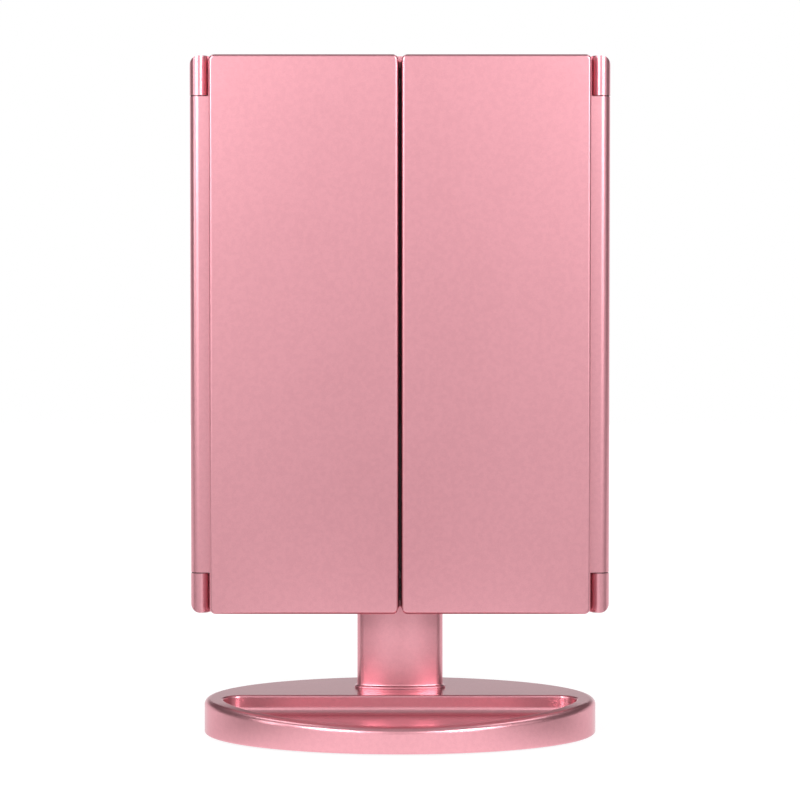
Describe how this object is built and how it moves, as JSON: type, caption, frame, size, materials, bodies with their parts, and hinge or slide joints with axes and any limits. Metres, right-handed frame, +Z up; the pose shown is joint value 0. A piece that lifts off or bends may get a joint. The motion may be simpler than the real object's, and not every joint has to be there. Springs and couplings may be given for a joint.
{
  "type": "trifold vanity mirror",
  "caption": "Tabletop vanity mirror with two folding wings over a lit centre mirror, tilting on an oval base with a sunken tray.",
  "frame": {"origin": "middle of the footprint, on the table under the rubber feet", "axes": "+X to the viewer's right, +Z up, the wings' closed backs face -Y"},
  "size_m": [0.1808, 0.115, 0.2901],
  "materials": {
    "rose_paint": "metallic rose paint, satin gloss",
    "silvered_glass": "silvered glass",
    "frosted_glass": "etched, translucent white",
    "diffuser_plastic": "milky translucent",
    "white_plastic": "moulded, fine texture",
    "dark_plastic": "moulded rose plastic, fine texture",
    "nylon": "black nylon",
    "foot_rubber": "soft grey rubber",
    "foam_pad": "closed cell foam",
    "zinc_steel": "zinc plated",
    "nickel_strip": "nickel plated strip",
    "ballast_steel": "rolled steel",
    "copper_foil": "copper foil",
    "circuit_board": "white solder mask",
    "chip_plastic": "moulded epoxy",
    "led_lens": "phosphor and clear resin",
    "cell_jacket": "plain film over the can",
    "wire_jacket": "soft PVC"
  },
  "bodies": {
    "base": {"base_shell": "rose_paint", "base_bottom_cover": "dark_plastic", "ballast_plate": "ballast_steel", "rubber_feet": "foot_rubber", "base_cover_screws": "zinc_steel", "post_front_shell": "rose_paint", "post_rear_shell": "rose_paint", "post_screws": "zinc_steel", "pivot_carrier": "zinc_steel", "carrier_screws": "zinc_steel", "friction_bushes": "nylon"},
    "head": {"front_frame": "rose_paint", "rear_cover": "rose_paint", "centre_mirror": "silvered_glass", "frosted_windows": "frosted_glass", "touch_symbol": "frosted_glass", "mirror_tape": "foam_pad", "touch_electrode": "copper_foil", "light_diffusers": "diffuser_plastic", "led_boards": "circuit_board", "leds": "led_lens", "control_board": "circuit_board", "board_components": "chip_plastic", "board_screws": "zinc_steel", "usb_socket": "nickel_strip", "battery_box": "white_plastic", "batteries": "cell_jacket", "battery_contacts": "nickel_strip", "battery_springs": "nickel_strip", "wiring": "wire_jacket", "rear_cover_screws": "zinc_steel", "tilt_shaft": "zinc_steel", "tilt_brackets": "zinc_steel", "bracket_screws": "zinc_steel", "shaft_nuts": "zinc_steel", "left_hinge_pins": "zinc_steel", "right_hinge_pins": "zinc_steel"},
    "battery_door": {"battery_door": "rose_paint"},
    "left_wing": {"left_wing_shell": "rose_paint", "left_wing_bezel": "rose_paint", "upper_magnifier": "silvered_glass", "lower_magnifier": "silvered_glass", "left_wing_pad": "foam_pad", "left_hinge_sleeves": "nylon"},
    "right_wing": {"right_wing_shell": "rose_paint", "right_wing_bezel": "rose_paint", "right_mirror": "silvered_glass", "right_wing_pad": "foam_pad", "right_hinge_sleeves": "nylon"}
  },
  "joints": [
    {"name": "tilt_hinge", "type": "hinge", "parent": "base", "child": "head", "pos_m": [0, 0.0283, 0.0767], "axis": [-1, 0, 0], "range_deg": [-5, 90]},
    {"name": "left_wing_hinge", "type": "hinge", "parent": "head", "child": "left_wing", "pos_m": [-0.08635, 0.012, 0.1704], "axis": [0, 0, -1], "range_deg": [0, 180]},
    {"name": "right_wing_hinge", "type": "hinge", "parent": "head", "child": "right_wing", "pos_m": [0.08635, 0.012, 0.1704], "axis": [0, 0, 1], "range_deg": [0, 180]},
    {"name": "battery_door_hinge", "type": "hinge", "parent": "head", "child": "battery_door", "pos_m": [0, 0.0344, 0.1199], "axis": [-1, 0, 0], "range_deg": [0, 100]}
  ]
}
